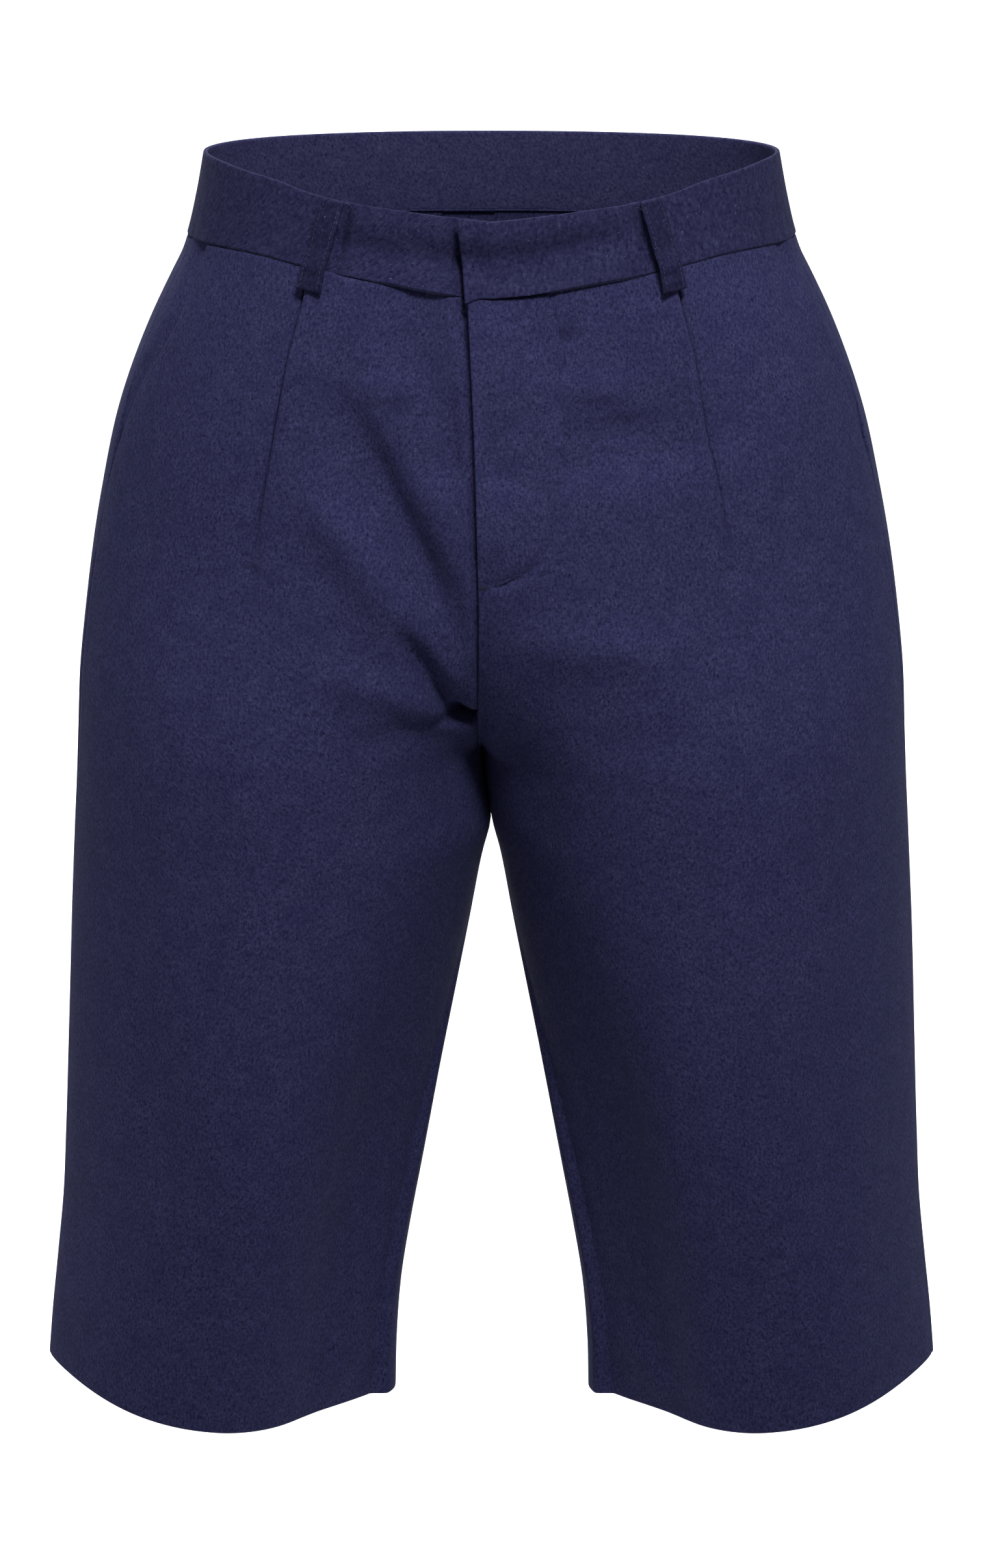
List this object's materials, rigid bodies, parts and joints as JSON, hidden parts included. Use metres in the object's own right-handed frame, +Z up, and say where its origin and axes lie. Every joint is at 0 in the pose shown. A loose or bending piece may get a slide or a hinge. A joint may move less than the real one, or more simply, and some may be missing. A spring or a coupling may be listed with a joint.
{
  "type": "bermuda shorts",
  "caption": "Tailored bermuda shorts filled out as when worn, with a lapped waistband, belt loops, pleated fronts, slant pockets, a fly and turned-up hems.",
  "frame": {"origin": "middle of the waist opening, level with the top edge of the waistband at the sides, where the wearer's waist holds the garment up", "axes": "+Z up out of the waist, +X to the wearer's left, -Y to the front"},
  "size_m": [0.4024, 0.2337, 0.564],
  "materials": {
    "twill": "brushed navy twill, matt",
    "zip_tape": "woven dark tape, matt"
  },
  "bodies": {
    "root": {"front_left": "twill", "front_right": "twill", "back_left": "twill", "back_right": "twill", "waistband": "twill", "belt_loop_front_left": "twill", "belt_loop_front_right": "twill", "belt_loop_back_left": "twill", "belt_loop_back_right": "twill", "belt_loop_middle_back": "twill", "pocket_back_left": "twill", "pocket_back_right": "twill", "fly_facing": "twill", "fly_shield": "twill", "fly_zip": "zip_tape"}
  },
  "joints": []
}
